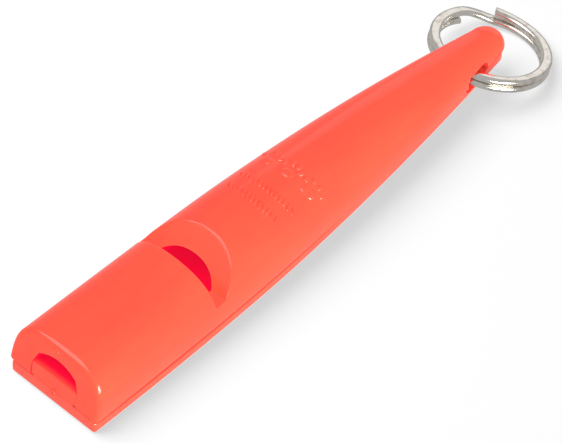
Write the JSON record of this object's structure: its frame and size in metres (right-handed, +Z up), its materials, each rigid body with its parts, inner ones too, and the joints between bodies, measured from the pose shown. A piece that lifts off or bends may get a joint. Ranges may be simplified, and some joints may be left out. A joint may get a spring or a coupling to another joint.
{
  "type": "training whistle",
  "caption": "Slim pealess training whistle: arched shell welded on a flat plate, mouthpiece with window and ramp, split ring through the tail slot.",
  "frame": {"origin": "middle of the flat underside of the base plate", "axes": "+X from the mouthpiece to the tail, +Y across, +Z up from the underside to the crown"},
  "size_m": [0.0914, 0.017, 0.0136],
  "materials": {
    "orange_plastic": "glossy, slightly translucent fluorescent orange-red moulding",
    "nickel_steel": "bright nickel plate on spring steel wire"
  },
  "bodies": {
    "whistle": {"upper_shell": "orange_plastic", "base_plate": "orange_plastic"},
    "ring": {"split_ring": "nickel_steel"}
  },
  "joints": [
    {"name": "ring_swing", "type": "hinge", "parent": "whistle", "child": "ring", "pos_m": [0.03421, 0, 0.00235], "axis": [0, -1, 0], "range_deg": [-135, 160]}
  ]
}
